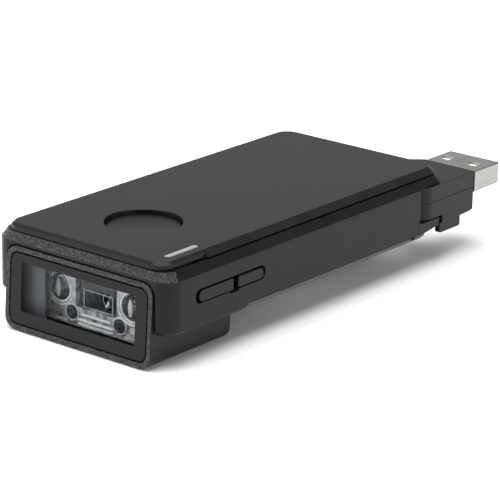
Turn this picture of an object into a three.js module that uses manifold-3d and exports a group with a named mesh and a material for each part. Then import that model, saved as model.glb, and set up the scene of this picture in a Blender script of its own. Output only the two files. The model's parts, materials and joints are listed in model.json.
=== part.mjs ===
// Pocket barcode scanner with a swing-out USB-A plug.
// Units are millimetres. X is the width (side keys on +X), Y runs from the scan
// window (-Y) to the USB plug (+Y), Z is up.
import * as THREE from 'three';
import { mergeVertices } from 'three/addons/utils/BufferGeometryUtils.js';
import Module from 'manifold-3d';

const wasm = await Module();
wasm.setup();

// ---- driving dimensions ---------------------------------------------------
const bodyHalfW = 21.15;      // half width of the housing at the side walls
const bodyFront = -1.25;      // front face of the housing
const bodyRear = 81.9;        // rear face of the housing
const bodyCorner = 3.4;       // plan radius of the housing corners
const zTop = 19.5;            // top of the cover plate
const zCoverUnder = 18.2;     // underside of the cover plate
const zBodyTop = 18.0;        // top face of the housing under the cover
const zShoulder = 16.48;      // lower edge of the sloping shoulder
const zPlate = 6.4;           // underside of the bottom cover
const zFloor = 7.5;           // underside of the housing floor
const coverHalfTop = 18.5;    // half width of the flat on top of the cover
const coverHalf = 19.8;       // half width of the cover at its lower edge
const coverRear = 80.45;      // rear end of the flat on top of the cover
const coverStepY = 10.75;     // where the wide side bevel starts
const wall = 1.8;             // housing wall

const engHalfW = 17.62;       // scan-window housing half width
const engTop = 15.7;          // scan-window housing top
const engFront = -1.67;       // front of the rim at z = 12
const engRear = 19.7;         // back of the scan-window housing
const engLean = 0.06;         // the window face leans forward towards its foot
const leanZ = 12;

const btnX = 0, btnY = 16.0;  // scan button centre
const btnHoleR = 7.25;
const btnR = 7.0;
const btnTop = 18.62;
const btnTravel = 0.3;

const ledX = 16.15, ledY0 = 3.55, ledY1 = 12.0, ledW = 1.25;

const keyY0 = 5.9, keyY1 = 25.3, keyZ0 = 11.0, keyZ1 = 13.75;

const pivX = 17.75, pivY = 76.7;   // pivot of the swing-out arm
const knuckleR = 3.4;
const armTop = 16.45, armBottom = 8.1, armSplit = 13.15, armRear = 91.0;
const shelfZ0 = 7.5, shelfZ1 = 9.55;
const slotRoof = 16.75;
const plugX0 = 9.15, plugX1 = 21.15, plugZ0 = 11.95, plugZ1 = 16.4;
const plugY0 = 91.1, plugY1 = 99.4, plugWall = 0.32;

const yMid = (engFront - engLean * leanZ + plugY1) / 2; // middle of the overall length

// ---- solid helpers ----------------------------------------------------------
function solid(pos, idx) {
  return new wasm.Manifold(new wasm.Mesh({
    numProp: 3, vertProperties: new Float32Array(pos), triVerts: new Uint32Array(idx),
  }));
}
// rings of equal count, given counter-clockwise seen from the end of the sweep
function rings(list, map) {
  const n = list[0].pts.length, pos = [], idx = [];
  for (const r of list) for (const p of r.pts) pos.push(...map(p[0], p[1], r.at));
  for (let k = 0; k + 1 < list.length; k++) {
    for (let i = 0; i < n; i++) {
      const a = k * n + i, b = k * n + (i + 1) % n, c = a + n, d = b + n;
      idx.push(a, b, d, a, d, c);
    }
  }
  const v2 = list[0].pts.map((p) => new THREE.Vector2(p[0], p[1]));
  for (const t of THREE.ShapeUtils.triangulateShape(v2, [])) idx.push(t[0], t[2], t[1]);
  const last = (list.length - 1) * n;
  const v3 = list[list.length - 1].pts.map((p) => new THREE.Vector2(p[0], p[1]));
  for (const t of THREE.ShapeUtils.triangulateShape(v3, [])) idx.push(last + t[0], last + t[1], last + t[2]);
  return solid(pos, idx);
}
const stackZ = (list) => rings(list, (a, b, t) => [a, b, t]);
const prismZ = (pts, z0, z1) => stackZ([{ pts, at: z0 }, { pts, at: z1 }]);
// outline in (y, z), swept along x
const prismX = (pts, x0, x1) => rings([{ pts, at: x0 }, { pts, at: x1 }], (a, b, t) => [t, a, b]);
// outline in (z, x), swept along y; lean shifts an end face with height
const prismY = (pts, y0, y1, l0 = 0, l1 = 0) => rings([{ pts, at: 0 }, { pts, at: 1 }],
  (a, b, t) => [b, t === 0 ? y0 + l0 * (a - leanZ) : y1 + l1 * (a - leanZ), a]);

function roundRect(a0, a1, b0, b1, r, seg = 6) {
  const rr = Array.isArray(r) ? r : [r, r, r, r];
  const c = [[a1 - rr[0], b0 + rr[0], -90, rr[0]], [a1 - rr[1], b1 - rr[1], 0, rr[1]],
    [a0 + rr[2], b1 - rr[2], 90, rr[2]], [a0 + rr[3], b0 + rr[3], 180, rr[3]]];
  const out = [];
  for (const [x, y, s, q] of c) {
    for (let i = 0; i <= seg; i++) {
      const t = (s + 90 * i / seg) * Math.PI / 180;
      out.push([x + q * Math.cos(t), y + q * Math.sin(t)]);
    }
  }
  return out;
}
// rectangle in (x, z) handed over as (z, x) for prismY, counter-clockwise kept
function frontRect(x0, x1, z0, z1, r, seg = 6) {
  return roundRect(z0, z1, x0, x1, r, seg);
}
function circle(x, y, r, n = 32) {
  const out = [];
  for (let i = 0; i < n; i++) {
    const t = 2 * Math.PI * i / n;
    out.push([x + r * Math.cos(t), y + r * Math.sin(t)]);
  }
  return out;
}
function arc(x, y, r, d0, d1, n) {
  const out = [];
  for (let i = 0; i <= n; i++) {
    const t = (d0 + (d1 - d0) * i / n) * Math.PI / 180;
    out.push([x + r * Math.cos(t), y + r * Math.sin(t)]);
  }
  return out;
}
const box = (x0, x1, y0, y1, z0, z1) => prismZ([[x0, y0], [x1, y0], [x1, y1], [x0, y1]], z0, z1);
const cyl = (x, y, r, z0, z1, n = 32) => prismZ(circle(x, y, r, n), z0, z1);
const cylY = (x, z, r, y0, y1, n = 24) => prismY(circle(z, x, r, n), y0, y1);

function toGeometry(m) {
  const g = m.getMesh();
  const np = g.numProp, pos = new Float32Array(g.vertProperties.length / np * 3);
  for (let i = 0, j = 0; i < g.vertProperties.length; i += np) {
    pos[j++] = g.vertProperties[i];
    pos[j++] = g.vertProperties[i + 1] - yMid;
    pos[j++] = g.vertProperties[i + 2];
  }
  const geo = new THREE.BufferGeometry();
  geo.setAttribute('position', new THREE.BufferAttribute(pos, 3));
  geo.setIndex(new THREE.BufferAttribute(new Uint32Array(g.triVerts), 1));
  return mergeVertices(geo, 1e-5);
}

const paint = {
  cover: [0x2b2b2c, 0, 0.42], body: [0x2a2a2b, 0, 0.5], textured: [0x303031, 0, 0.7],
  rim: [0x262627, 0, 0.6], glass: [0x8f9aa0, 0, 0.05], mask: [0x1d1d1f, 0, 0.2],
  engine: [0x2d3034, 0, 0.5], clear: [0xd5dadb, 0, 0.08], lens: [0x6f7c86, 0, 0.03],
  screw: [0x3a3d40, 1, 0.35], led: [0xc9c9c6, 0, 0.4], key: [0x29292a, 0, 0.5],
  arm: [0x2c2c2d, 0, 0.5], plug: [0xb4b2ac, 1, 0.28], insulator: [0xe8e8e4, 0, 0.5],
  gold: [0xd9ae50, 1, 0.3], steel: [0x8f9194, 1, 0.3], board: [0x1f5137, 0, 0.55],
  battery: [0x4a5560, 0, 0.45], can: [0xa9acae, 1, 0.35], flex: [0xa9702a, 0, 0.5],
  part: [0x202022, 0, 0.5], label: [0xb9babb, 0, 0.6], rubber: [0x1c1c1c, 0, 0.8],
};
const root = new THREE.Group();
root.name = 'pocket_barcode_scanner';
function add(name, m, key) {
  const [color, metalness, roughness] = paint[key];
  const mesh = new THREE.Mesh(toGeometry(m), new THREE.MeshStandardMaterial({ color, metalness, roughness }));
  mesh.material.name = key;
  mesh.name = name;
  root.add(mesh);
}

// ---- top cover --------------------------------------------------------------
const coverWide = stackZ([
  { pts: roundRect(-coverHalf + 0.15, coverHalf - 0.15, -0.4, coverRear + 0.75, 3.2), at: zCoverUnder },
  { pts: roundRect(-coverHalf, coverHalf, -0.55, coverRear + 0.9, 3.3), at: zCoverUnder + 0.15 },
  { pts: roundRect(-coverHalfTop, coverHalfTop, 0, coverRear, 2.7), at: zTop },
]);
const coverNose = stackZ([
  { pts: roundRect(-coverHalfTop - 0.6, coverHalfTop + 0.6, -0.5, coverRear, 3.1), at: zCoverUnder },
  { pts: roundRect(-coverHalfTop - 0.6, coverHalfTop + 0.6, -0.5, coverRear, 3.1), at: zTop - 0.5 },
  { pts: roundRect(-coverHalfTop, coverHalfTop, 0, coverRear, 2.7), at: zTop },
]);
let cover = coverWide.intersect(box(-30, 30, coverStepY, 90, 10, 30))
  .add(coverNose.intersect(box(-30, 30, -10, coverStepY + 0.01, 10, 30)));
cover = cover.subtract(cyl(btnX, btnY, btnHoleR, 10, 30, 56));
cover = cover.subtract(stackZ([
  { pts: circle(btnX, btnY, btnHoleR - 0.02, 56), at: zTop - 0.12 },
  { pts: circle(btnX, btnY, btnHoleR + 0.17, 56), at: zTop + 0.05 },
]));
cover = cover.subtract(prismZ(roundRect(ledX - ledW / 2 - 0.1, ledX + ledW / 2 + 0.1, ledY0 - 0.1, ledY1 + 0.1, ledW / 2 + 0.09, 5), 10, 30));
add('top_cover', cover, 'cover');

// scan button: dished cap, retaining flange and stem
const dish = [];
for (let k = 0; k <= 5; k++) {
  const t = k / 5, r = 5.9 * t + 0.02;
  dish.push([r, btnTop - 0.2 + 0.2 * t * t]);
}
const capRings = [[1.5, 17.0], [1.5, 17.35], [7.75, 17.35], [7.75, 17.9], [btnR, 17.9], [btnR, btnTop - 0.28], [btnR - 0.09, btnTop - 0.09], [btnR - 0.3, btnTop]]
  .map(([r, z]) => ({ pts: circle(btnX, btnY, r, 56), at: z }));
let button = stackZ(capRings);
const bowl = stackZ(dish.slice().map(([r, z]) => ({ pts: circle(btnX, btnY, r, 56), at: z }))
  .concat([{ pts: circle(btnX, btnY, 5.95, 56), at: btnTop + 0.1 }]));
button = button.subtract(bowl);
add('scan_button', button, 'cover');

add('status_light_bar', prismZ(roundRect(ledX - ledW / 2, ledX + ledW / 2, ledY0, ledY1, ledW / 2 - 0.01, 6), 18.06, zTop - 0.03)
  .add(box(ledX - 0.4, ledX + 0.4, 6.4, 9.2, 16.95, 18.1)), 'led');

// ---- main housing -------------------------------------------------------------
let body = stackZ([
  { pts: roundRect(-bodyHalfW + 0.65, bodyHalfW - 0.65, bodyFront + 0.55, bodyRear - 0.6, bodyCorner - 0.5), at: zPlate },
  { pts: roundRect(-bodyHalfW, bodyHalfW, bodyFront, bodyRear, bodyCorner), at: zPlate + 0.7 },
  { pts: roundRect(-bodyHalfW, bodyHalfW, bodyFront, bodyRear, bodyCorner), at: zShoulder },
  { pts: roundRect(-20.12, 20.12, -0.6, bodyRear - 0.75, 3.3), at: zBodyTop },
]);
// opening for the scan-window housing
body = body.subtract(prismY(frontRect(-17.95, 17.95, -3, 16.0, [2.6, 2.6, 0.5, 0.5]), -6, 5.5));
body = body.subtract(box(-17.95, 17.95, 5.4, 20.95, -3, 25));
// cavity under the cover
body = body.subtract(box(-bodyHalfW + wall, bodyHalfW - wall, 5.4, 20.9, 8.6, 25));
body = body.subtract(prismZ(roundRect(-bodyHalfW + wall, bodyHalfW - wall, 20.8, 63.0, [0.1, 1.2, 1.2, 0.1], 3), 8.5, 25));
body = body.subtract(prismZ(roundRect(-16.6, 16.6, 23.0, 61.5, 1.0, 3), 0, 12));
// seat of the bottom cover
body = body.subtract(box(-30, 30, 20.3, 90, 0, zFloor));
// pocket that takes the folded arm, and the shallower one for the plug
const armPocket = [[40, 72.95], [40, 95], [0.6, 95], ...arc(pivX, pivY, 17.15, 180, 226.9, 8), [10.15, 64.18], [14.2, 72.95]];
const armPocketCut = prismZ(armPocket, 0, slotRoof);
body = body.subtract(armPocketCut);
const plugPocket = [[20, 67.75], [20, 95], ...arc(pivX, pivY, 24.75, 132, 201.1, 14)];
body = body.subtract(prismZ(plugPocket, 11.6, slotRoof));
body = body.subtract(box(14.35, 30, 72.45, 80, 0, 10.35));
// pocket for the pivot pin in the roof
body = body.subtract(cyl(pivX, pivY, 1.35, 15, 17.5, 24));
// side keys
const keySlot = roundRect(keyY0, keyY1, keyZ0, keyZ1, [1.2, 1.3, 1.3, 1.3], 5);
body = body.subtract(prismX(keySlot, 18, 25));
body = body.subtract(prismX([[15.3, 10.62], [17.75, 10.62], [17.75, 11.5], [15.3, 11.5]], 20.5, 25));
// screw holes
const screwAt = [[-18.0, 24.2], [18.0, 24.2], [-18.0, 61.0], [18.0, 61.0]];
for (const [x, y] of screwAt) body = body.subtract(cyl(x, y, 0.95, 0, 12, 16));
add('body_housing', body, 'body');

// ---- bottom cover -------------------------------------------------------------
let plate = stackZ([
  { pts: roundRect(-20.45, 20.45, 20.9, 74.6, [1.6, 0.8, 0.8, 1.6]), at: zPlate },
  { pts: roundRect(-21.1, 21.1, 20.55, 75.2, [1.6, 1.0, 1.0, 1.6]), at: zPlate + 0.7 },
  { pts: roundRect(-21.1, 21.1, 20.55, 75.2, [1.6, 1.0, 1.0, 1.6]), at: zFloor - 0.12 },
]);
for (const [x, y] of screwAt) {
  plate = plate.subtract(cyl(x, y, 1.65, 0, 7.0, 20));
  plate = plate.subtract(cyl(x, y, 0.95, 0, 9, 16));
}
// fingernail notch near the rear of each long edge
plate = plate.subtract(box(20.2, 22, 70.1, 71.5, 6.95, 9));
plate = plate.subtract(box(-22, -20.2, 70.1, 71.5, 6.95, 9));
// recess for the rating label and two grip grooves
plate = plate.subtract(prismZ(roundRect(-13.3, 13.3, 34.7, 58.3, 0.8, 4), 5, zPlate + 0.2));
for (const y of [28.5, 30.5]) plate = plate.subtract(prismZ(roundRect(-8, 8, y, y + 0.9, 0.44, 4), 5, zPlate + 0.35));
add('bottom_cover', plate, 'body');
add('rating_label', prismZ(roundRect(-13.1, 13.1, 34.9, 58.1, 0.7, 4), zPlate + 0.06, zPlate + 0.17), 'label');
screwAt.forEach(([x, y], i) => {
  let s = cyl(x, y, 1.4, 6.5, 6.95, 24).add(cyl(x, y, 0.7, 6.9, 9.6, 16));
  s = s.subtract(box(x - 0.75, x + 0.75, y - 0.16, y + 0.16, 6.3, 6.75)).subtract(box(x - 0.16, x + 0.16, y - 0.75, y + 0.75, 6.3, 6.75));
  add('case_screw_' + (i + 1), s, 'steel');
});

// ---- scan-window housing --------------------------------------------------------
let scan = prismY(frontRect(-engHalfW, engHalfW, 0, engTop, 2.45, 8), engFront, engRear, engLean, 0);
// long rounding under the heel and lower walls inside the body
scan = scan.subtract(prismX([[engRear - 1.5, -1], [engRear + 1, -1], [engRear + 1, 1.5]], -30, 30));
scan = scan.subtract(box(-30, 30, 3.2, 30, 14.3, 30));
// window seat, then the chamber behind it
scan = scan.subtract(prismY(frontRect(-16.7, 16.7, 0.95, 14.8, 1.9, 6), -6, -0.45, 0, engLean));
scan = scan.subtract(prismY(frontRect(-15.6, 15.6, 2.2, 13.6, 1.0, 4), -2, 2, 0, 0));
scan = scan.subtract(box(-16.3, 16.3, 0.95, 18.4, 1.2, 14.0));
scan = scan.subtract(box(-16.3, 16.3, 4.2, 18.4, 1.2, 30));
add('scan_window_housing', scan, 'rim');

let glass = prismY(frontRect(-16.42, 16.42, 1.24, 14.52, 1.62, 6), engFront + 0.1, engFront + 0.85, engLean, engLean);
add('window_glass', glass, 'glass');
let mask = prismY(frontRect(-16.42, 16.42, 1.24, 14.52, 1.62, 6), engFront + 0.88, engFront + 1.08, engLean, engLean);
mask = mask.subtract(prismY(frontRect(-13.8, 13.8, 3.7, 12.95, 0.35, 3), -6, 6));
add('window_mask', mask, 'mask');

// ---- scan engine ----------------------------------------------------------------
const engZ = 6.75;      // height of the optical axis
const screwX = 5.8, screwZ = 4.1, aimX = 8.8, aimZ = 8.3;
let chassis = prismY(frontRect(-12, 12, 1.6, 12.4, 0.5, 3), 4.8, 16.4)
  .add(prismY(frontRect(-3.9, 3.9, 5.5, 12.3, 0.3, 3), 4.1, 4.9));
chassis = chassis.subtract(prismY(frontRect(-3.1, 3.1, engZ - 2.3, engZ + 2.3, 0.3, 3), 0, 12.0));
chassis = chassis.subtract(cylY(-aimX, aimZ, 2.35, 0, 8.0)).subtract(cylY(aimX, aimZ, 2.35, 0, 8.0));
chassis = chassis.subtract(cylY(-screwX, screwZ, 0.65, 0, 11.5, 16)).subtract(cylY(screwX, screwZ, 0.65, 0, 11.5, 16));
add('engine_chassis', chassis, 'engine');

let guide = prismY(frontRect(-12, 12, 1.6, 12.4, 0.5, 3), 3.3, 4.55);
guide = guide.subtract(prismY(frontRect(-5.0, 5.0, 5.3, 14.0, 0.4, 3), 0, 12.0));
guide = guide.subtract(cylY(-aimX, aimZ, 2.6, 0, 8.0)).subtract(cylY(aimX, aimZ, 2.6, 0, 8.0));
guide = guide.subtract(cylY(-screwX, screwZ, 0.8, 0, 11.5, 16)).subtract(cylY(screwX, screwZ, 0.8, 0, 11.5, 16));
guide = guide.subtract(cylY(-screwX, screwZ, 1.5, 0, 3.75, 24)).subtract(cylY(screwX, screwZ, 1.5, 0, 3.75, 24));
for (const z of [1.9, 2.6]) guide = guide.add(prismX([[2.8, z + 0.15], [3.35, z], [3.35, z + 0.55]], -3.6, 3.6));
for (const s of [-1, 1]) guide = guide.add(box(s * 11.2 - 0.35, s * 11.2 + 0.35, 2.7, 3.35, 2.0, 12.0));
add('light_guide', guide, 'clear');

function dome(x, z, r, y0, y1, sag) {
  const list = [];
  list.push({ r: r * 0.15, y: y0 });
  for (const t of [0.5, 0.8, 1]) list.push({ r: r * t, y: y0 + sag * t * t });
  list.push({ r, y: y1 });
  return rings(list.map((e) => ({ pts: circle(z, x, e.r, 28), at: e.y })), (a, b, t) => [b, t, a]);
}
add('aimer_lens_left', dome(-aimX, aimZ, 2.25, 2.9, 7.6, 1.2), 'clear');
add('aimer_lens_right', dome(aimX, aimZ, 2.25, 2.9, 7.6, 1.2), 'clear');
let barrel = cylY(0, engZ, 2.0, 6.4, 11.8, 32).subtract(cylY(0, engZ, 1.45, 0, 8.9, 28)).subtract(cylY(0, engZ, 0.9, 0, 12.5, 20));
add('imager_barrel', barrel, 'part');
add('imager_lens', dome(0, engZ, 1.3, 6.9, 8.6, 0.7), 'lens');
[-1, 1].forEach((s) => {
  let sc = cylY(s * screwX, screwZ, 1.22, 2.95, 3.65, 24).add(cylY(s * screwX, screwZ, 0.5, 3.6, 10.8, 14));
  const c = Math.PI / 4;
  sc = sc.subtract(box(s * screwX - 0.75, s * screwX + 0.75, 2.5, 3.25, screwZ - 0.15, screwZ + 0.15));
  sc = sc.subtract(box(s * screwX - 0.15, s * screwX + 0.15, 2.5, 3.25, screwZ - 0.75, screwZ + 0.75));
  add(s < 0 ? 'engine_screw_left' : 'engine_screw_right', sc, 'screw');
});
add('engine_board', box(-11.2, 11.2, 16.65, 17.5, 2.0, 12.2), 'board');
// flat cable from the engine board up to the main board
add('engine_flex', prismX([[17.62, 11.8], [17.74, 11.8], [17.74, 14.62], [22.0, 14.62], [22.0, 14.74], [17.62, 14.74]], -5, 5), 'flex');

// ---- side keys and their switches -------------------------------------------------
function key(name, y0, y1, r) {
  let k = prismX(roundRect(y0, y1, keyZ0 + 0.2, keyZ1 - 0.42, r, 5), 19.0, bodyHalfW - 0.04);
  k = k.add(prismX(roundRect(y0 - (y0 < 10 ? 0.9 : 0.3), y1 + (y0 < 10 ? 0.3 : 0.9), keyZ0 - 0.6, keyZ1 + 0.6, 0.5, 3), 18.55, 19.05));
  add(name, k, 'key');
}
key('side_key_front', 6.95, 16.35, [0.25, 0.25, 1.05, 1.05]);
key('side_key_rear', 17.75, 24.85, [0.95, 1.05, 0.25, 0.25]);
add('side_switch_front', box(17.8, 18.2, 10.2, 13.0, 11.2, 13.2), 'can');
add('side_switch_rear', box(17.1, 18.2, 20.2, 23.0, 11.2, 13.2), 'can');

// ---- electronics -----------------------------------------------------------------
let pcb = prismZ(roundRect(-18.6, 18.6, 6.6, 62.4, 1.2, 3), 15.0, 16.0);
add('main_board', pcb, 'board');
let switchDome = stackZ([
  { pts: circle(btnX, btnY, 2.6, 28), at: 16.08 }, { pts: circle(btnX, btnY, 2.6, 28), at: 16.25 },
  { pts: circle(btnX, btnY, 1.3, 28), at: 16.6 }]);
add('dome_switch', switchDome, 'steel');
add('status_led', box(ledX - 0.5, ledX + 0.5, 7.2, 8.4, 16.08, 16.7), 'led');
add('radio_module_can', prismZ(roundRect(-15, -3, 28, 40, 0.6, 3), 16.08, 17.6), 'can');
add('processor_can', prismZ(roundRect(1, 15, 30, 44, 0.6, 3), 16.08, 17.4), 'can');
add('buzzer', cyl(-9, 52, 4.4, 16.08, 17.7, 36).subtract(cyl(-9, 52, 0.9, 17.0, 20, 16)), 'part');
add('memory_chip', box(3, 11, 48, 55, 16.08, 16.9), 'part');
let cell = prismZ(roundRect(-16.0, 16.0, 23.8, 60.8, 1.6, 4), 7.7, 13.6);
add('battery_pack', cell, 'battery');
add('battery_connector', box(-3, 3, 57.0, 60.0, 13.75, 14.85), 'rubber');

// ---- hinge bracket and pivot --------------------------------------------------------
let bracket = prismZ([[14.6, 72.6], [21.12, 72.6], [21.12, 79.3], [18.3, 79.8], ...arc(pivX, pivY, 3.15, 88, 158, 7), [14.6, 76.0]], shelfZ0, shelfZ1)
  .add(box(14.6, 21.12, 72.6, 72.95, shelfZ0, 10.2));
// the shelf's underside rises towards its free end
bracket = bracket.subtract(prismX([[74.9, 7.0], [80, 7.0], [80, shelfZ0 + 0.67], [79.35, shelfZ0 + 0.6], [74.9, shelfZ0 - 0.01]], 0, 30));
bracket = bracket.subtract(cyl(pivX, pivY, 1.25, 0, 12, 24));
add('hinge_bracket', bracket, 'body');
add('pivot_pin', cyl(pivX, pivY, 1.1, 8.3, 17.35, 24), 'steel');
add('pivot_bushing', cyl(pivX, pivY, 1.85, 9.9, 16.35, 28).subtract(cyl(pivX, pivY, 1.3, 5, 20, 24)), 'part');

// ---- swing-out arm ---------------------------------------------------------------
const armPlan = [
  ...arc(pivX, pivY, knuckleR, 180, 360, 18), [bodyHalfW, armRear - 0.35], [bodyHalfW - 0.35, armRear], [plugX0 + 0.05, armRear],
  [5.6, 88.0], [5.6, 84.6], [14.35, 80.1],
];
const tailPlan = [[14.3, 80.35], [bodyHalfW, 80.35], [bodyHalfW, armRear - 0.35], [bodyHalfW - 0.35, armRear], [plugX0 + 0.05, armRear],
  [5.6, 88.0], [5.6, 84.6], [13.9, 80.35]];
const armCavity = [[12.6, 81.8], [19.6, 81.8], [19.6, 89.4], [9.6, 89.4], [7.0, 87.3], [7.0, 85.2]];
let upper = prismZ(armPlan, armSplit + 0.02, armTop);
upper = upper.subtract(prismZ(armCavity, 10, 15.75));
upper = upper.subtract(cyl(pivX, pivY, 1.98, 0, 30, 28));
upper = upper.subtract(box(10.3, 19.6, 88, 95, 10, 15.75));
add('arm_upper_shell', upper, 'arm');
let lower = prismZ(armPlan, shelfZ1 + 0.3, armSplit - 0.02).add(prismZ(tailPlan, armBottom, shelfZ1 + 0.35));
// rear face and underside taper inwards below the joint line
lower = lower.subtract(prismX([[armRear - 0.65, armBottom - 2], [armRear + 2, armBottom - 2], [armRear + 2, armSplit], [armRear + 0.02, armSplit]], -5, 30));
lower = lower.subtract(prismX([[86.9, armBottom - 0.5], [92, armBottom - 0.5], [92, armBottom + 0.75], [86.9, armBottom - 0.06]], -5, 30));
lower = lower.subtract(prismZ(armCavity, 9.5, 20));
lower = lower.subtract(cyl(pivX, pivY, 1.98, 0, 30, 28));
lower = lower.subtract(box(10.3, 19.6, 88, 95, 12.3, 20));
// finger catch hanging below the outer edge
lower = lower.subtract(prismY([[armBottom - 0.3, bodyHalfW - 0.62], [armBottom + 0.7, bodyHalfW + 0.38], [armBottom - 0.3, bodyHalfW + 0.38]], 70, 95));
lower = lower.add(prismX([[79.95, 6.4], [80.3, 6.1], [86.45, 6.1], [86.85, 6.45], [86.85, armBottom + 0.6], [80.5, armBottom + 0.6], [80.5, armBottom - 0.05], [79.95, armBottom - 0.05]], 19.75, bodyHalfW - 0.32));
add('arm_lower_shell', lower, 'arm');
add('arm_board', prismZ([[12.9, 82.2], [19.2, 82.2], [19.2, 86.8], [7.6, 86.8], [7.6, 85.3]], 13.2, 14.0), 'board');

// ---- USB plug --------------------------------------------------------------------
const px0 = plugX0, px1 = plugX1, pxm = (px0 + px1) / 2;
let shell = prismY(frontRect(px0, px1, plugZ0, plugZ1, 0.36, 4), plugY0, plugY1 - 0.12)
  .add(prismY(frontRect(px0 + 0.06, px1 - 0.06, plugZ0 + 0.06, plugZ1 - 0.06, 0.32, 4), plugY1 - 0.15, plugY1));
shell = shell.add(prismY(frontRect(10.6, 19.3, 12.6, 15.45, 0.3, 3), 87.1, plugY0 + 0.3));
shell = shell.subtract(prismY(frontRect(px0 + plugWall, px1 - plugWall, plugZ0 + plugWall, plugZ1 - plugWall, 0.2, 3), plugY0 + 0.35, plugY1 + 2));
shell = shell.subtract(prismY(frontRect(10.9, 19.0, 12.9, 15.15, 0.1, 2), 80, plugY0 + 1));
const wxm = pxm - 0.35;
for (const s of [-1, 1]) {
  shell = shell.subtract(prismZ(roundRect(wxm + s * 3.2 - 1.28, wxm + s * 3.2 + 1.28, 93.65, 95.75, 0.12, 2), 15.5, 20));
  shell = shell.subtract(prismZ(roundRect(wxm + s * 3.2 - 1.28, wxm + s * 3.2 + 1.28, 93.65, 95.75, 0.12, 2), 10, 12.6));
}
shell = shell.subtract(box(wxm - 0.25, wxm - 0.15, plugY0 + 0.6, plugY1 + 1, plugZ1 - 0.1, 20));
shell = shell.subtract(box(wxm - 0.62, wxm + 0.2, plugY1 - 0.75, plugY1 - 0.3, plugZ1 - 0.12, 20));
add('usb_plug_shell', shell, 'plug');
let ins = prismY(frontRect(px0 + 0.55, px1 - 0.55, 14.05, 15.95, 0.15, 2), 92.0, 98.8);
for (let i = 0; i < 4; i++) ins = ins.subtract(box(pxm + [-3.5, -1, 1, 3.5][i] - 0.62, pxm + [-3.5, -1, 1, 3.5][i] + 0.62, 90, 98.3, 13, 14.2));
add('usb_insulator', ins, 'insulator');
for (let i = 0; i < 4; i++) {
  const cx = pxm + [-3.5, -1, 1, 3.5][i];
  add('usb_contact_' + (i + 1), box(cx - 0.5, cx + 0.5, 92.1, 98.1, 13.98, 14.14), 'gold');
}

export default root;
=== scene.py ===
import bpy, bmesh, math, json
from mathutils import Vector, Matrix

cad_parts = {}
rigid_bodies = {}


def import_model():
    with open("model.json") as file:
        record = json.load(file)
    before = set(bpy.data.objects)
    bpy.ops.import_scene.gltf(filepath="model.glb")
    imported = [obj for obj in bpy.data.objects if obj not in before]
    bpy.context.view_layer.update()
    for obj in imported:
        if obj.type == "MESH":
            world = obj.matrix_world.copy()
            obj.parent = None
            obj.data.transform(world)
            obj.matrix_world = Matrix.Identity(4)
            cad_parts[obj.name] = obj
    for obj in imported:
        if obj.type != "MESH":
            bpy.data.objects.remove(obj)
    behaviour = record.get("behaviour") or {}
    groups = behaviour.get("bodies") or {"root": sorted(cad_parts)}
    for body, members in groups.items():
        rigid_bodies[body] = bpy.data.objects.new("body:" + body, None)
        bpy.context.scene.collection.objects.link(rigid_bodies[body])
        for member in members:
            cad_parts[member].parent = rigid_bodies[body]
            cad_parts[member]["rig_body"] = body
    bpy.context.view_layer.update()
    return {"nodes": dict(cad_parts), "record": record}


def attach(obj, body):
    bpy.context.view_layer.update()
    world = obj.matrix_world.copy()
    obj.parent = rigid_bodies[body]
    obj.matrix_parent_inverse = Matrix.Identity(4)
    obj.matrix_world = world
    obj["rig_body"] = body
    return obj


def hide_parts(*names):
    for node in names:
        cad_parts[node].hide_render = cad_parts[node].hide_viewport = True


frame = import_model()
N = frame["nodes"]
REC = frame["record"]
SLOT = {s["node"]: s["material_slot"] for s in REC["subparts"]}
MM = 0.001
YM = 0.048505            # the frame's Y zero, measured from the front ridge of the top cover


def P(x, y, z):
    """Millimetres from the cover's front ridge to frame metres."""
    return Vector((x * MM, y * MM - YM, z * MM))


# --------------------------------------------------------------------------
# camera: the view of the photograph
# --------------------------------------------------------------------------
def make_camera():
    az, el, roll = 0.682798, 0.324416, 0.014642
    f_px, dist = 2682.94, 0.505406
    target, tx, ty = P(0, 35, 8), TARGET_PX[0], TARGET_PX[1]
    d = Vector((-math.sin(az) * math.cos(el), math.cos(az) * math.cos(el), -math.sin(el)))
    r = Vector((math.cos(az), math.sin(az), 0))
    u = r.cross(d)
    c, s = math.cos(roll), math.sin(roll)
    r, u = c * r + s * u, -s * r + c * u
    pos = target - d * dist - r * ((tx - 250) / f_px * dist) + u * ((ty - 250) / f_px * dist)
    cam = bpy.data.cameras.new("camera")
    cam.sensor_fit = 'HORIZONTAL'
    cam.sensor_width = 36.0
    cam.lens = f_px * 36.0 / 500.0
    cam.clip_start, cam.clip_end = 0.01, 50
    cam.dof.use_dof = False
    ob = bpy.data.objects.new("camera", cam)
    bpy.context.scene.collection.objects.link(ob)
    m = Matrix((
        (r.x, u.x, -d.x, pos.x),
        (r.y, u.y, -d.y, pos.y),
        (r.z, u.z, -d.z, pos.z),
        (0, 0, 0, 1)))
    ob.matrix_world = m
    bpy.context.scene.camera = ob
    return ob


TARGET_PX = (210.466, 256.028)
make_camera()


# --------------------------------------------------------------------------
# materials
# --------------------------------------------------------------------------
def new_mat(name):
    m = bpy.data.materials.new(name)
    m.use_nodes = True
    nt = m.node_tree
    for n in list(nt.nodes):
        nt.nodes.remove(n)
    out = nt.nodes.new("ShaderNodeOutputMaterial")
    b = nt.nodes.new("ShaderNodeBsdfPrincipled")
    nt.links.new(b.outputs[0], out.inputs[0])
    return m, nt, b


def node(nt, kind, **kw):
    n = nt.nodes.new(kind)
    for k, v in kw.items():
        if k in n.inputs:
            n.inputs[k].default_value = v
        else:
            setattr(n, k, v)
    return n


def coords(nt, scale=(1, 1, 1)):
    tc = nt.nodes.new("ShaderNodeTexCoord")
    mp = nt.nodes.new("ShaderNodeMapping")
    mp.inputs["Scale"].default_value = scale
    nt.links.new(tc.outputs["Object"], mp.inputs["Vector"])
    return mp.outputs["Vector"]


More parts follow.
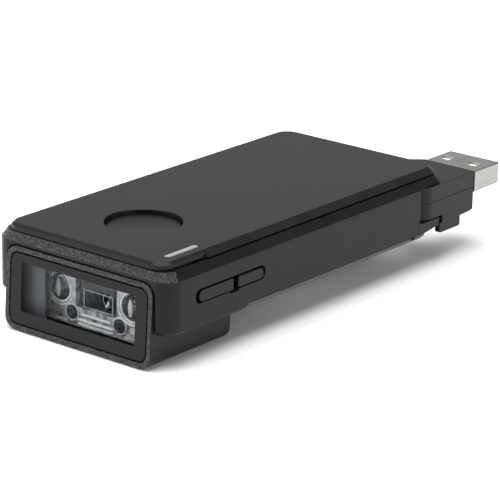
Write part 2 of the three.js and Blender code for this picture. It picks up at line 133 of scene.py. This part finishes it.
def ramp(nt, src, stops):
    r = nt.nodes.new("ShaderNodeValToRGB")
    el = r.color_ramp.elements
    el[0].position, el[0].color = stops[0][0], stops[0][1]
    el[1].position, el[1].color = stops[-1][0], stops[-1][1]
    for p, c in stops[1:-1]:
        e = el.new(p)
        e.color = c
    nt.links.new(src, r.inputs["Fac"])
    return r.outputs["Color"]


def grey(v, a=1.0):
    return (v, v, v, a)


def mix_color(nt, fac, a, b):
    m = nt.nodes.new("ShaderNodeMix")
    m.data_type = 'RGBA'
    if isinstance(fac, (int, float)):
        m.inputs["Factor"].default_value = fac
    else:
        nt.links.new(fac, m.inputs["Factor"])
    for sock, v in ((m.inputs[6], a), (m.inputs[7], b)):
        if isinstance(v, tuple):
            sock.default_value = v
        else:
            nt.links.new(v, sock)
    return m.outputs[2]


def math_node(nt, op, a, b=0.5, c=0.5, clamp=False):
    m = nt.nodes.new("ShaderNodeMath")
    m.operation = op
    m.use_clamp = clamp
    for i, v in enumerate((a, b, c)):
        if isinstance(v, (int, float)):
            m.inputs[i].default_value = v
        else:
            nt.links.new(v, m.inputs[i])
    return m.outputs[0]


def bump(nt, b, height, strength, dist, normal=None):
    n = nt.nodes.new("ShaderNodeBump")
    n.inputs["Strength"].default_value = strength
    n.inputs["Distance"].default_value = dist
    nt.links.new(height, n.inputs["Height"])
    if normal is not None:
        nt.links.new(normal, n.inputs["Normal"])
    return n.outputs["Normal"]


def black_plastic(name, base=0.009, rough=0.36, ior=1.33, grain=0.12, grain_scale=3400, mottle=0.2, tint=(1, 1, 1.02)):
    """Moulded black plastic: a fine etched grain, faint mottling of colour and gloss."""
    m, nt, b = new_mat(name)
    v = coords(nt)
    fine = node(nt, "ShaderNodeTexNoise", Scale=grain_scale, Detail=3.0, Roughness=0.6)
    broad = node(nt, "ShaderNodeTexNoise", Scale=160.0, Detail=4.0, Roughness=0.55)
    nt.links.new(v, fine.inputs["Vector"])
    nt.links.new(v, broad.inputs["Vector"])
    lo = tuple(base * (1 - mottle) * t for t in tint) + (1,)
    hi = tuple(base * (1 + mottle) * t for t in tint) + (1,)
    nt.links.new(ramp(nt, broad.outputs["Fac"], [(0.3, lo), (0.7, hi)]), b.inputs["Base Color"])
    r = ramp(nt, broad.outputs["Fac"], [(0.25, grey(rough - 0.03)), (0.75, grey(rough + 0.03))])
    nt.links.new(r, b.inputs["Roughness"])
    b.inputs["IOR"].default_value = ior
    nt.links.new(bump(nt, b, fine.outputs["Fac"], grain, 0.00006), b.inputs["Normal"])
    return m


def spark_plastic(name, base=0.012, rough=0.26, ior=1.40, strength=1.0, scale=2300, dist=0.0005):
    """Black plastic with the coarse spark-eroded grain of the mould."""
    m, nt, b = new_mat(name)
    v = coords(nt)
    vor = node(nt, "ShaderNodeTexVoronoi", Scale=scale)
    vor.feature = 'F1'
    fine = node(nt, "ShaderNodeTexNoise", Scale=scale * 0.8, Detail=3.0, Roughness=0.65)
    broad = node(nt, "ShaderNodeTexNoise", Scale=300.0, Detail=4.0, Roughness=0.55)
    for t in (vor, fine, broad):
        nt.links.new(v, t.inputs["Vector"])
    h = math_node(nt, 'ADD', math_node(nt, 'MULTIPLY', vor.outputs["Distance"], 0.7), math_node(nt, 'MULTIPLY', fine.outputs["Fac"], 1.1))
    nt.links.new(ramp(nt, fine.outputs["Fac"], [(0.40, grey(base * 0.3)), (0.64, grey(base * 4.2))]), b.inputs["Base Color"])
    nt.links.new(ramp(nt, broad.outputs["Fac"], [(0.25, grey(rough - 0.04)), (0.75, grey(rough + 0.06))]), b.inputs["Roughness"])
    b.inputs["IOR"].default_value = ior
    nt.links.new(bump(nt, b, h, strength, dist), b.inputs["Normal"])
    return m


def brushed(name, color=(0.60, 0.585, 0.55), rough=0.32, axis_scale=(300, 9000, 9000), strength=0.12, metallic=1.0):
    m, nt, b = new_mat(name)
    v = coords(nt, axis_scale)
    streak = node(nt, "ShaderNodeTexNoise", Scale=1.0, Detail=3.0, Roughness=0.65)
    nt.links.new(v, streak.inputs["Vector"])
    v2 = coords(nt)
    broad = node(nt, "ShaderNodeTexNoise", Scale=260.0, Detail=4.0, Roughness=0.6)
    nt.links.new(v2, broad.inputs["Vector"])
    lo = tuple(c * 0.86 for c in color) + (1,)
    hi = tuple(min(1, c * 1.06) for c in color) + (1,)
    nt.links.new(ramp(nt, broad.outputs["Fac"], [(0.3, lo), (0.7, hi)]), b.inputs["Base Color"])
    nt.links.new(ramp(nt, streak.outputs["Fac"], [(0.3, grey(rough - 0.05)), (0.7, grey(rough + 0.07))]), b.inputs["Roughness"])
    b.inputs["Metallic"].default_value = metallic
    nt.links.new(bump(nt, b, streak.outputs["Fac"], strength, 0.00002), b.inputs["Normal"])
    return m


def glassy(name, color=(1, 1, 1), rough=0.0, ior=1.46, wav=0.0, scale=260, dist=0.00002):
    m, nt, b = new_mat(name)
    v = coords(nt)
    n = node(nt, "ShaderNodeTexNoise", Scale=scale, Detail=2.0)
    nt.links.new(v, n.inputs["Vector"])
    lo = tuple(c * 0.985 for c in color) + (1,)
    nt.links.new(ramp(nt, n.outputs["Fac"], [(0.35, lo), (0.65, tuple(color) + (1,))]), b.inputs["Base Color"])
    b.inputs["Roughness"].default_value = rough
    b.inputs["IOR"].default_value = ior
    b.inputs["Transmission Weight"].default_value = 1.0
    if wav:
        nt.links.new(bump(nt, b, n.outputs["Fac"], wav, dist), b.inputs["Normal"])
    return m


def speckled(name, c0, c1, scale, rough, rough_d=0.05, metallic=0.0, bump_s=0.1, ior=1.45, detail=3.0, dist=0.00003, spec=None):
    m, nt, b = new_mat(name)
    v = coords(nt)
    n = node(nt, "ShaderNodeTexNoise", Scale=scale, Detail=detail, Roughness=0.6)
    nt.links.new(v, n.inputs["Vector"])
    nt.links.new(ramp(nt, n.outputs["Fac"], [(0.35, tuple(c0) + (1,)), (0.65, tuple(c1) + (1,))]), b.inputs["Base Color"])
    nt.links.new(ramp(nt, n.outputs["Fac"], [(0.3, grey(rough - rough_d)), (0.7, grey(rough + rough_d))]), b.inputs["Roughness"])
    b.inputs["Metallic"].default_value = metallic
    b.inputs["IOR"].default_value = ior
    if spec is not None:
        b.inputs["Specular IOR Level"].default_value = spec
    nt.links.new(bump(nt, b, n.outputs["Fac"], bump_s, dist), b.inputs["Normal"])
    return m


M = {}
M["cover"] = black_plastic("cover_satin", base=0.010, rough=0.33, ior=1.265, grain=0.10)
M["button"] = black_plastic("button_satin", base=0.010, rough=0.34, ior=1.28, grain=0.10)
M["spark"] = spark_plastic("housing_spark")
M["housing"] = black_plastic("housing_side", base=0.008, rough=0.31, ior=1.255, grain=0.12)
M["bottom_cover"] = black_plastic("bottom_cover_matt", base=0.05, rough=0.42, ior=1.45, grain=0.2)
M["rim"] = spark_plastic("window_rim", base=0.012, strength=1.0, scale=2400, dist=0.00034)
M["window_housing"] = black_plastic("window_housing_side", base=0.009, rough=0.36, ior=1.28, grain=0.2)
M["side_key"] = black_plastic("side_key_satin", base=0.008, rough=0.33, ior=1.27, grain=0.12)
M["arm"] = black_plastic("arm_satin", base=0.010, rough=0.34, ior=1.27, grain=0.12)
M["light_bar"] = speckled("light_bar_milky", (0.23, 0.23, 0.22), (0.30, 0.30, 0.29), 2400, 0.45, bump_s=0.1)
M["label"] = speckled("label_foil", (0.36, 0.36, 0.365), (0.44, 0.44, 0.445), 700, 0.4, metallic=0.4)
M["screw"] = brushed("screw_black_zinc", (0.12, 0.12, 0.125), 0.4, (2500, 2500, 2500))
M["engine_screw"] = speckled("engine_screw_dark", (0.045, 0.052, 0.06), (0.085, 0.095, 0.107), 2600, 0.34, metallic=0.5)
M["window_glass"] = glassy("window_glass", (0.95, 0.975, 0.99), ior=1.12)
M["mask"] = speckled("window_print", (0.004, 0.004, 0.0043), (0.0055, 0.0055, 0.006), 1400, 0.12, rough_d=0.02, bump_s=0.01, ior=1.30)
M["engine_black"] = speckled("engine_block", (0.022, 0.026, 0.031), (0.036, 0.041, 0.048), 1100, 0.42)
M["engine_frost"] = speckled("engine_frosted", (0.16, 0.165, 0.17), (0.33, 0.335, 0.34), 1500, 0.25, bump_s=0.8, dist=0.0002)
M["clear_optic"] = speckled("clear_optic", (0.16, 0.16, 0.16), (0.70, 0.70, 0.70), 620, 0.14, rough_d=0.06, bump_s=1.0, dist=0.0006, ior=1.5, detail=5.0)
# painted highlight: a near-white base colour for clear plastic edges, rings and bars, standing in for the glints and
# reflecting edges of the clear optics
M["clear_bright"] = speckled("clear_painted_highlight", (0.72, 0.73, 0.73), (0.92, 0.93, 0.93), 1400, 0.14, bump_s=0.4, dist=0.0002, ior=1.5)
# painted highlight: a pale grey for the bright vertical streak reflected in the aimer lenses
M["streak"] = speckled("lens_painted_highlight", (0.42, 0.43, 0.435), (0.56, 0.57, 0.575), 500, 0.2, bump_s=0.1, ior=1.5)
M["aimer"] = glassy("aimer_lens", (0.95, 0.97, 0.98), rough=0.04, ior=1.45, wav=0.5, scale=420, dist=0.0002)
M["barrel"] = speckled("lens_barrel", (0.014, 0.015, 0.017), (0.022, 0.023, 0.026), 2600, 0.3)
M["lens"] = speckled("lens_coated", (0.05, 0.058, 0.075), (0.07, 0.08, 0.1), 900, 0.06, rough_d=0.02, ior=1.8, bump_s=0.0)
M["baffle"] = speckled("chamber_baffle", (0.062, 0.065, 0.072), (0.07, 0.073, 0.081), 500, 0.5, bump_s=0.05)
M["circuit_board"] = speckled("solder_mask", (0.008, 0.06, 0.03), (0.012, 0.09, 0.045), 900, 0.35)
M["flex"] = speckled("polyimide", (0.42, 0.19, 0.04), (0.5, 0.24, 0.06), 500, 0.35)
M["tin_can"] = brushed("tin_can", (0.62, 0.62, 0.61), 0.38, (400, 6000, 6000))
M["spring_steel"] = brushed("spring_steel", (0.6, 0.6, 0.6), 0.3, (3000, 3000, 3000))
M["led"] = speckled("led_epoxy", (0.8, 0.8, 0.72), (0.86, 0.86, 0.8), 1500, 0.3)
M["component_black"] = speckled("chip_epoxy", (0.018, 0.018, 0.018), (0.026, 0.026, 0.026), 2800, 0.5)
M["battery_wrap"] = speckled("battery_film", (0.08, 0.10, 0.125), (0.1, 0.125, 0.155), 500, 0.3)
M["connector"] = speckled("nylon", (0.66, 0.64, 0.56), (0.72, 0.7, 0.62), 900, 0.5)
M["pin_steel"] = brushed("pin_ground", (0.55, 0.55, 0.56), 0.25, (6000, 6000, 400))
M["bushing"] = black_plastic("bushing_acetal", base=0.03, rough=0.45)
M["plug_metal"] = brushed("plug_nickel", (0.40, 0.392, 0.365), 0.36, (9000, 260, 9000), 0.10)
M["plug_insulator"] = speckled("plug_insulator_white", (0.78, 0.78, 0.75), (0.86, 0.86, 0.83), 1200, 0.45)
M["gold_contact"] = brushed("gold_flash", (0.83, 0.62, 0.27), 0.25, (9000, 500, 9000))


# --------------------------------------------------------------------------
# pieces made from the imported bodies, with eased edges
# --------------------------------------------------------------------------
def finish_mesh(ob, angle=32):
    me = ob.data
    for p in me.polygons:
        p.use_smooth = True
    ob.modifiers.new("weighted", 'WEIGHTED_NORMAL').keep_sharp = True


def eased(name, width=0.16, seg=3, angle=28, mats=None, pick=None):
    """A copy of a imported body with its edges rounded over; it stands for that body.

    mats is a list of finishes and pick(centre, normal) gives the index of a face's finish, both in
    frame millimetres from the cover's front ridge."""
    src = N[name]
    me = src.data.copy()
    ob = bpy.data.objects.new(name + "_skin", me)
    bpy.context.scene.collection.objects.link(ob)
    bm = bmesh.new()
    bm.from_mesh(me)
    bmesh.ops.remove_doubles(bm, verts=bm.verts, dist=2e-6)
    bmesh.ops.dissolve_limit(bm, angle_limit=math.radians(0.6), verts=bm.verts, edges=bm.edges, delimit={'NORMAL'})
    bmesh.ops.recalc_face_normals(bm, faces=bm.faces)
    sharp = math.radians(angle)
    for e in bm.edges:
        e.smooth = not (len(e.link_faces) == 2 and e.calc_face_angle(0) > sharp)
    for f in bm.faces:
        f.smooth = True
        f.material_index = 0
        if pick:
            c = f.calc_center_median()
            f.material_index = pick(Vector((c.x / MM, (c.y + YM) / MM, c.z / MM)), f.normal)
    me.materials.clear()
    bm.to_mesh(me)
    bm.free()
    for m in (mats or [M[SLOT[name]]]):
        me.materials.append(m)
    if width:
        b = ob.modifiers.new("ease", 'BEVEL')
        b.width = width * MM
        b.segments = seg
        b.limit_method = 'ANGLE'
        b.angle_limit = sharp
        b.use_clamp_overlap = True
        b.harden_normals = False
        b.miter_outer = 'MITER_ARC'
    w = ob.modifiers.new("weighted", 'WEIGHTED_NORMAL')
    w.keep_sharp = True
    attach(ob, src["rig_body"])
    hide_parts(name)
    return ob


def new_piece(name, bm, mat, body="scanner_body", ease=0.0, seg=2, smooth=True, replaces=None):
    me = bpy.data.meshes.new(name)
    bmesh.ops.recalc_face_normals(bm, faces=bm.faces)
    for f in bm.faces:
        f.smooth = smooth
    bm.to_mesh(me)
    bm.free()
    ob = bpy.data.objects.new(name, me)
    bpy.context.scene.collection.objects.link(ob)
    me.materials.append(mat)
    if ease:
        b = ob.modifiers.new("ease", 'BEVEL')
        b.width = ease * MM
        b.segments = seg
        b.limit_method = 'ANGLE'
        b.angle_limit = math.radians(28)
    w = ob.modifiers.new("weighted", 'WEIGHTED_NORMAL')
    w.keep_sharp = True
    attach(ob, body)
    if replaces:
        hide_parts(replaces)
    return ob


def sweep(bm, outline, a0, a1, axes="yz_x"):
    """A prism: outline of 2-D points swept from a0 to a1. yz_x sweeps along x, xz_y along y, xy_z along z."""
    def put(p, t):
        if axes == "yz_x":
            return P(t, p[0], p[1])
        if axes == "xz_y":
            return P(p[0], t, p[1])
        return P(p[0], p[1], t)
    lo = [bm.verts.new(put(p, a0)) for p in outline]
    hi = [bm.verts.new(put(p, a1)) for p in outline]
    n = len(outline)
    for i in range(n):
        bm.faces.new((lo[i], lo[(i + 1) % n], hi[(i + 1) % n], hi[i]))
    bm.faces.new(lo)
    bm.faces.new(hi)


def ring_y(bm, cx, cz, r, t, y, a0=0, a1=360, n=40, k=10, ty=None):
    """A round-section ring, or part of one, standing across the Y axis."""
    ty = ty or t
    full = abs(a1 - a0) >= 360
    cols = []
    cnt = n if full else n + 1
    for i in range(cnt):
        a = math.radians(a0 + (a1 - a0) * i / n)
        col = []
        for j in range(k):
            q = 2 * math.pi * j / k
            rr = r + t * math.cos(q)
            col.append(bm.verts.new(P(cx + rr * math.cos(a), y + ty * math.sin(q), cz + rr * math.sin(a))))
        cols.append(col)
    m = cnt if full else cnt - 1
    for i in range(m):
        for j in range(k):
            a_, b_ = cols[i], cols[(i + 1) % cnt]
            bm.faces.new((a_[j], b_[j], b_[(j + 1) % k], a_[(j + 1) % k]))
    if not full:
        bm.faces.new(cols[0])
        bm.faces.new(list(reversed(cols[-1])))


def rrect(x0, x1, z0, z1, r, seg=4):
    out = []
    for cx, cz, s in ((x1 - r, z0 + r, -90), (x1 - r, z1 - r, 0), (x0 + r, z1 - r, 90), (x0 + r, z0 + r, 180)):
        for i in range(seg + 1):
            t = math.radians(s + 90 * i / seg)
            out.append((cx + r * math.cos(t), cz + r * math.sin(t)))
    return out


def frame_y(bm, x0, x1, z0, z1, w, y0, y1):
    """A rectangular frame of bar width w standing across the Y axis."""
    o = [(x0, z0), (x1, z0), (x1, z1), (x0, z1)]
    i = [(x0 + w, z0 + w), (x1 - w, z0 + w), (x1 - w, z1 - w), (x0 + w, z1 - w)]
    vo = [[bm.verts.new(P(p[0], y, p[1])) for p in o] for y in (y0, y1)]
    vi = [[bm.verts.new(P(p[0], y, p[1])) for p in i] for y in (y0, y1)]
    for k in range(4):
        n = (k + 1) % 4
        bm.faces.new((vo[0][k], vo[0][n], vi[0][n], vi[0][k]))
        bm.faces.new((vo[1][k], vi[1][k], vi[1][n], vo[1][n]))
        bm.faces.new((vo[0][k], vo[1][k], vo[1][n], vo[0][n]))
        bm.faces.new((vi[0][k], vi[0][n], vi[1][n], vi[1][k]))


for n in N:
    m = M[SLOT[n]]
    me = N[n].data
    me.materials.clear()
    me.materials.append(m)

def pick_body(c, n):
    # the sloping front shoulder and the front corners carry the coarse grain
    return 1 if (0.2 < n.z < 0.97 and n.y < -0.12) else 0


def pick_scan(c, n):
    return 1 if (c.y < -0.6 and (n.y < -0.3 or c.y < -1.3)) or (n.z > 0.3 and c.y < 3) else 0


def pick_chassis(c, n):
    return 0 if abs(c.x) < 4.0 and c.y < 4.95 and c.z > 5.4 else 1


EASE = {
    "top_cover": dict(width=0.14), "scan_button": dict(width=0.10),
    "status_light_bar": dict(width=0.10),
    "body_housing": dict(width=0.16, mats=[M["housing"], M["spark"]], pick=pick_body),
    "bottom_cover": dict(width=0.12),
    "scan_window_housing": dict(width=0.2, mats=[M["window_housing"], M["rim"]], pick=pick_scan),
    "window_glass": dict(width=0.10),
    "side_key_front": dict(width=0.16), "side_key_rear": dict(width=0.16),
    "arm_upper_shell": dict(width=0.12), "arm_lower_shell": dict(width=0.14),
    "usb_plug_shell": dict(width=0.05, seg=2), "hinge_bracket": dict(width=0.12),
    "engine_chassis": dict(width=0.08, seg=2, mats=[M["engine_black"], M["engine_frost"]], pick=pick_chassis),
    "light_guide": dict(width=0.10, seg=3, mats=[M["clear_optic"]]),
    "aimer_lens_left": dict(width=0.0, mats=[M["aimer"]]),
    "aimer_lens_right": dict(width=0.0, mats=[M["aimer"]]),
    "engine_screw_left": dict(width=0.10, seg=3), "engine_screw_right": dict(width=0.10, seg=3),
    "rating_label": dict(width=0.03, seg=2),
}
SKIN = {}
for n, kw in EASE.items():
    SKIN[n] = eased(n, **kw)


# ---- scan engine detail seen through the window -------------------------------
def window_print():
    """The printed black border of the window, a glossy film that follows the lean of the pane."""
    bm = bmesh.new()
    o = rrect(-16.40, 16.40, 1.26, 14.50, 1.60, 6)
    i = rrect(-13.8, 13.8, 3.7, 12.95, 0.45, 6)
    def ring(pts, y):
        return [bm.verts.new(P(x, y + 0.06 * (z - 12), z)) for x, z in pts]
    yf = -1.67 + 0.075
    vo, vi = ring(o, yf), ring(i, yf)
    wo, wi = ring(o, yf + 0.6), ring(i, yf + 0.02)
    n = len(o)
    for k in range(n):
        q = (k + 1) % n
        bm.faces.new((vo[k], vo[q], vi[q], vi[k]))
        bm.faces.new((vo[k], wo[k], wo[q], vo[q]))
        bm.faces.new((vi[k], vi[q], wi[q], wi[k]))
        bm.faces.new((wo[k], wi[k], wi[q], wo[q]))
    ob = new_piece("window_print", bm, M["mask"], ease=0.05, replaces="window_mask")
    return ob


window_print()


def engine_detail():
    # painted highlights: the imager frame and the ribs below are near-white to show the bright lines along the clear
    # plastic's edges
    bm = bmesh.new()
    frame_y(bm, -3.5, 3.5, 5.4, 8.8, 0.09, 3.80, 4.04)
    new_piece("imager_window_frame", bm, M["clear_bright"], ease=0.05)
    bm = bmesh.new()
    for z, x0, x1 in ((4.05, -3.6, 3.6), (2.95, -4.3, 4.3), (2.2, -4.3, 4.3)):
        sweep(bm, [(2.95, z), (3.22, z - 0.16), (3.32, z - 0.1), (3.32, z + 0.34), (3.12, z + 0.28)], x0, x1)
    new_piece("guide_ribs", bm, M["clear_bright"], ease=0.04)
    for s, nm in ((-1, "left"), (1, "right")):
        # painted highlights: the aimer seats, the ledges under the lenses and the screw bosses are near-white rings
        # standing in for their rim glints
        bm = bmesh.new()
        ring_y(bm, s * 8.8, 8.3, 2.72, 0.2, 3.25)
        new_piece("aimer_seat_" + nm, bm, M["clear_bright"])
        bm = bmesh.new()
        ring_y(bm, s * 8.8, 8.3, 3.35, 0.26, 3.25, a0=205, a1=335, n=24)
        new_piece("aimer_ledge_" + nm, bm, M["clear_bright"])
        bm = bmesh.new()
        ring_y(bm, s * 5.8, 4.1, 1.55, 0.17, 3.2, n=36)
        new_piece("screw_boss_" + nm, bm, M["clear_bright"])
        bm = bmesh.new()
        ring_y(bm, s * 5.8, 4.1, 0.82, 0.09, 2.93, n=32)
        new_piece("screw_step_" + nm, bm, M["engine_screw"])
        # painted highlight: a pale ellipsoid inside each aimer lens stands in for the vertical streak of light the lens
        # reflects
        bm = bmesh.new()
        bmesh.ops.create_uvsphere(bm, u_segments=20, v_segments=14, radius=1.0)
        bmesh.ops.scale(bm, vec=Vector((0.62, 0.34, 1.8)) * MM, verts=bm.verts)
        bmesh.ops.translate(bm, vec=P(s * 8.8 - 0.15, 2.95, 8.25), verts=bm.verts)
        new_piece("aimer_painted_highlight_" + nm, bm, M["streak"])
    # painted highlight: a near-white ring standing in for the bright rim of the imager lens
    bm = bmesh.new()
    ring_y(bm, 0, 6.75, 1.28, 0.06, 6.6)
    new_piece("imager_retainer", bm, M["clear_bright"])
    # painted highlight: a near-white crescent on the imager lens rim stands in for the lens's glint
    bm = bmesh.new()
    ring_y(bm, -0.1, 6.35, 0.62, 0.30, 6.0, a0=-95, a1=35, n=24, k=12, ty=0.16)
    new_piece("imager_lens_painted_glint", bm, M["clear_bright"])
    bm = bmesh.new()
    sweep(bm, rrect(-16.1, -9.6, 1.5, 13.6, 0.3), 0.2, 0.6, axes="xz_y")
    new_piece("chamber_baffle", bm, M["baffle"], ease=0.1)
    # bars and pads on the clear plate in near-white: painted highlights where the plate's edges and the ledges under
    # the aimer lenses catch the light
    bm = bmesh.new()
    for x, z, w, h in ((-11.9, 3.0, 0.5, 9.0), (11.7, 3.0, 0.5, 9.0), (-8.6, 2.0, 3.4, 0.5), (8.6, 2.0, 3.4, 0.5), (9.6, 3.3, 2.6, 1.2)):
        sweep(bm, rrect(x - w / 2, x + w / 2, z, z + h, min(w, h) * 0.4), 3.05, 3.32, axes="xz_y")
    new_piece("guide_painted_highlights", bm, M["clear_bright"], ease=0.06)


engine_detail()

# --------------------------------------------------------------------------
# floor, light
# --------------------------------------------------------------------------
def make_floor():
    bm = bmesh.new()
    s, k = 3.0, 24
    bmesh.ops.create_grid(bm, x_segments=k, y_segments=k, size=s)
    me = bpy.data.meshes.new("floor")
    bm.to_mesh(me)
    bm.free()
    ob = bpy.data.objects.new("floor", me)
    ob.location = (0, 0, -0.0003)
    bpy.context.scene.collection.objects.link(ob)
    m, nt, b = new_mat("floor_pale")
    v = coords(nt)
    n = node(nt, "ShaderNodeTexNoise", Scale=3.0, Detail=2.0)
    nt.links.new(v, n.inputs["Vector"])
    nt.links.new(ramp(nt, n.outputs["Fac"], [(0.3, grey(0.90)), (0.7, grey(0.915))]), b.inputs["Base Color"])
    b.inputs["Roughness"].default_value = 0.9
    b.inputs["Specular IOR Level"].default_value = 0.1
    me.materials.append(m)


def area(name, loc, aim, size, power, color=(1, 1, 1), size_y=None):
    l = bpy.data.lights.new(name, 'AREA')
    l.energy = power
    l.color = color
    l.size = size
    if size_y:
        l.shape = 'RECTANGLE'
        l.size_y = size_y
    ob = bpy.data.objects.new(name, l)
    ob.location = loc
    d = Vector(aim) - Vector(loc)
    ob.rotation_euler = d.to_track_quat('-Z', 'Y').to_euler()
    bpy.context.scene.collection.objects.link(ob)
    return ob


def make_world():
    w = bpy.data.worlds.new("studio")
    bpy.context.scene.world = w
    w.use_nodes = True
    nt = w.node_tree
    bg = nt.nodes["Background"]
    # a dim studio: paler behind to the left, dark behind to the right
    tc = nt.nodes.new("ShaderNodeTexCoord")
    dot = nt.nodes.new("ShaderNodeVectorMath")
    dot.operation = 'DOT_PRODUCT'
    dot.inputs[1].default_value = WORLD_AXIS
    nt.links.new(tc.outputs["Generated"], dot.inputs[0])
    col = ramp(nt, math_node(nt, 'MULTIPLY_ADD', dot.outputs["Value"], 0.5), WORLD_STOPS)
    nt.links.new(col, bg.inputs["Color"])
    bg.inputs["Strength"].default_value = 1.0


WORLD_AXIS = (-0.92, 0.39, 0.0)
WORLD_STOPS = [(0.0, (0.20, 0.205, 0.215, 1)), (0.45, (0.24, 0.245, 0.255, 1)), (0.93, (0.53, 0.54, 0.56, 1)), (1.0, (0.56, 0.57, 0.59, 1))]
make_floor()
make_world()
area("overhead", (0.0, -0.1, 1.5), (0, -0.05, 0), 1.7, 40)
area("front_left", (-0.75, -0.95, 0.42), (0, -0.02, 0.01), 1.0, 9)
area("right_fill", (1.05, 0.15, 0.34), (0.05, 0, 0), 0.7, 4.6)
bpy.context.scene.view_settings.view_transform = 'Standard'
bpy.context.scene.view_settings.look = 'None'
bpy.context.scene.view_settings.exposure = 0.0
bpy.context.scene.view_settings.gamma = 1.0
